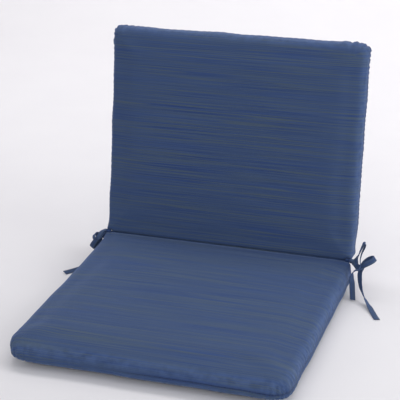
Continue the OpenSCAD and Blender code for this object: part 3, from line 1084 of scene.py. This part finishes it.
def cover_material(name, seed):
    shader = Shader(name)
    x, y, layer = shader.parts("weave")
    sheen_band, groove, _ = shader.parts("painted_light")
    colour, height = slub_cloth(shader, x, y, shader.math("ADD", layer, seed))
    mottled = shader.stretched(x, y, 60.0, 60.0, seed, 21.0, 2.0)
    # Painted highlight on the rolled edges, broken up by the mottle.
    painted_sheen = shader.math("MULTIPLY", shader.math("MULTIPLY", sheen_band, shader.ramp(mottled, 0.25, 0.7)), 0.42)
    colour = shader.mix(painted_sheen, colour, THREAD_AND_HIGHLIGHT_BLUE)
    # Painted shade along the seam groove.
    colour = shader.mix(shader.math("MULTIPLY", groove, 0.45), colour, SHADE_BLUE)
    normal = shader.bump(height, 0.5, 0.45 * MM)
    rough = shader.math("MULTIPLY_ADD", mottled, 0.12, 0.78)
    return shader.finish(Base_Color=colour, Roughness=rough, Normal=normal, **FABRIC_SHEEN)


def strap_material(name, seed):
    """The tie fabric: the slub runs along the strap, and both edges are stitched."""
    shader = Shader(name)
    across, run, _ = shader.parts("strap")
    y = shader.math("MULTIPLY", across, TIE_WIDTH)
    colour, height = slub_cloth(shader, run, y, seed)
    from_line = shader.math("ABSOLUTE", shader.math("SUBTRACT", shader.math("ABSOLUTE", across), STITCH_AT))
    line = shader.ramp(from_line, 0.035, 0.012)
    dash = shader.math("SINE", shader.math("MULTIPLY", run, 2 * math.pi / TIE_STITCH_PITCH))
    stitch = shader.math("MULTIPLY", line, shader.ramp(dash, -0.35, 0.1))
    colour = shader.mix(shader.math("MULTIPLY", line, 0.5), colour, SHADE_BLUE)
    colour = shader.mix(shader.math("MULTIPLY", stitch, 0.75), colour, THREAD_AND_HIGHLIGHT_BLUE)
    height = shader.math("ADD", height, shader.math("MULTIPLY", stitch, 1.2))
    normal = shader.bump(height, 0.5, 0.4 * MM)
    return shader.finish(Base_Color=colour, Roughness=0.8, Normal=normal, **FABRIC_SHEEN)


def seam_material():
    """The seam ridge: the doubled edges, coloured darker than the cover cloth as painted shade in the seam, with
    the closing stitches' slight bumps.
    """
    shader = Shader("seam_painted_shade_cloth")
    _, run, _ = shader.parts("strap")
    puff = shader.math("SINE", shader.math("MULTIPLY", run, 2 * math.pi / SEAM_STITCH_PITCH))
    grain = shader.stretched(run, run, 350.0, 900.0, 4.0, 0.0, 2.0)
    # Painted shade: the ridge is darker than the cloth it is sewn from.
    colour = shader.mix(shader.ramp(grain, 0.3, 0.7), SHADE_BLUE, DEEP_BLUE)
    height = shader.math("ADD", shader.math("MULTIPLY", puff, 0.5), grain)
    return shader.finish(Base_Color=colour, Roughness=0.88, Normal=shader.bump(height, 0.6, 0.4 * MM),
                         Sheen_Weight=0.2, Specular_IOR_Level=0.2)


def thread_material():
    shader = Shader("sewing_thread")
    place = shader.add("ShaderNodeTexCoord").outputs["Object"]
    twist = shader.add("ShaderNodeTexWave", {"Vector": place, "Scale": 420.0, "Distortion": 2.0})
    colour = shader.mix(twist.outputs[1], SHADE_BLUE, BRIGHT_BLUE)
    return shader.finish(Base_Color=colour, Roughness=0.8, Sheen_Weight=0.15,
                         Sheen_Tint=(0.45, 0.6, 1, 1), Specular_IOR_Level=0.15,
                         Normal=shader.bump(twist.outputs[1], 0.3, 0.2 * MM))


def foam_material():
    shader = Shader("open_cell_foam")
    place = shader.add("ShaderNodeTexCoord").outputs["Object"]
    cells = shader.add("ShaderNodeTexVoronoi", {"Vector": place, "Scale": 620.0}).outputs[0]
    tone = shader.add("ShaderNodeTexNoise", {"Vector": place, "Scale": 30.0, "Detail": 3.0}).outputs[0]
    colour = shader.mix(tone, (0.86, 0.80, 0.62, 1), (0.92, 0.88, 0.74, 1))
    return shader.finish(Base_Color=colour, Roughness=0.95, Normal=shader.bump(cells, 0.7, 0.5 * MM))


def batting_material():
    shader = Shader("polyester_batting")
    place = shader.add("ShaderNodeTexCoord").outputs["Object"]
    fibres = shader.add("ShaderNodeTexNoise", {"Vector": place, "Scale": 260.0, "Detail": 6.0,
                                               "Distortion": 2.5}).outputs[0]
    colour = shader.mix(fibres, (0.80, 0.81, 0.83, 1), (0.95, 0.95, 0.94, 1))
    return shader.finish(Base_Color=colour, Roughness=0.9, Sheen_Weight=0.6,
                         Normal=shader.bump(fibres, 0.8, 0.8 * MM))


def paint(objects, material):
    for obj in objects:
        obj.data.materials.clear()
        obj.data.materials.append(material)


paint([seat_cover], cover_material("seat_slub_cloth", 1.0))
paint([back_cover], cover_material("back_slub_cloth", 5.0))
paint([web], cover_material("web_slub_cloth", 9.0))
paint(straps, strap_material("tie_slub_cloth", 13.0))
paint([seat_seam, back_seam], seam_material())
paint(threads, thread_material())
paint(foams, foam_material())
paint(battings, batting_material())

# Studio: a pale sweep of paper, three large soft lights and the room's own light
SWEEP_WIDTH = 16.0
SWEEP_FRONT = -9.0
SWEEP_BEND = 1.7
SWEEP_RADIUS = 1.1
SWEEP_TOP = 3.4
WALL_LIGHT = 0.83
CEILING_LIGHT = 0.5


def sweep_material():
    shader = Shader("studio_paper")
    place = shader.add("ShaderNodeTexCoord").outputs["Object"]
    grain = shader.add("ShaderNodeTexNoise", {"Vector": place, "Scale": 7.0, "Detail": 3.0}).outputs[0]
    colour = shader.mix(grain, (0.75, 0.738, 0.745, 1), (0.78, 0.768, 0.77, 1))
    return shader.finish(Base_Color=colour, Roughness=0.9, Specular_IOR_Level=0.1)


def add_sweep():
    line = [(SWEEP_FRONT, 0.0), (SWEEP_BEND, 0.0)]
    for angle in np.linspace(0, math.pi / 2, 24)[1:]:
        line.append((SWEEP_BEND + SWEEP_RADIUS * math.sin(angle), SWEEP_RADIUS * (1 - math.cos(angle))))
    line.append((SWEEP_BEND + SWEEP_RADIUS, SWEEP_TOP))
    verts = [(x, y, z) for y, z in line for x in (-SWEEP_WIDTH / 2, SWEEP_WIDTH / 2)]
    faces = [(2 * i, 2 * i + 1, 2 * i + 3, 2 * i + 2) for i in range(len(line) - 1)]
    sweep = mesh_object("studio_sweep", verts, faces)
    paint([sweep], sweep_material())


def add_area(name, place, target, size, energy, colour):
    data = bpy.data.lights.new(name, "AREA")
    data.shape = "RECTANGLE"
    data.size = size[0]
    data.size_y = size[1]
    data.energy = energy
    data.color = colour
    lamp = link(bpy.data.objects.new(name, data))
    aim = Vector(target) - Vector(place)
    lamp.matrix_world = Matrix.Translation(place) @ aim.to_track_quat("-Z", "Y").to_matrix().to_4x4()


def add_room_light():
    world = bpy.data.worlds.new("room")
    world.use_nodes = True
    tree = world.node_tree
    background = tree.nodes["Background"]
    background.inputs[0].default_value = (0.93, 0.94, 1.0, 1)
    # The room is dimmer straight up, where its ceiling is, than around the walls.
    direction = tree.nodes.new("ShaderNodeTexCoord").outputs["Generated"]
    split = tree.nodes.new("ShaderNodeSeparateXYZ")
    fall = tree.nodes.new("ShaderNodeMapRange")
    fall.inputs["To Min"].default_value = WALL_LIGHT
    fall.inputs["To Max"].default_value = CEILING_LIGHT
    tree.links.new(direction, split.inputs[0])
    tree.links.new(split.outputs[2], fall.inputs["Value"])
    tree.links.new(fall.outputs[0], background.inputs[1])
    bpy.context.scene.world = world


add_sweep()
add_area("front_softbox", (0.8, -2.6, 1.5), (0, 0.3, 0.4), (1.6, 1.2), 17, (1.0, 0.99, 0.98))
add_area("right_fill", (2.6, -0.2, 1.3), (0, 0.1, 0.2), (1.4, 1.6), 25, (0.97, 0.98, 1.0))
add_area("backdrop_softbox", (0, 1.2, 2.7), (0, 2.5, 0.1), (3.6, 1.2), 52, (1.0, 0.98, 0.995))
add_room_light()
bpy.context.scene.view_settings.view_transform = "Standard"
bpy.context.scene.view_settings.look = "None"
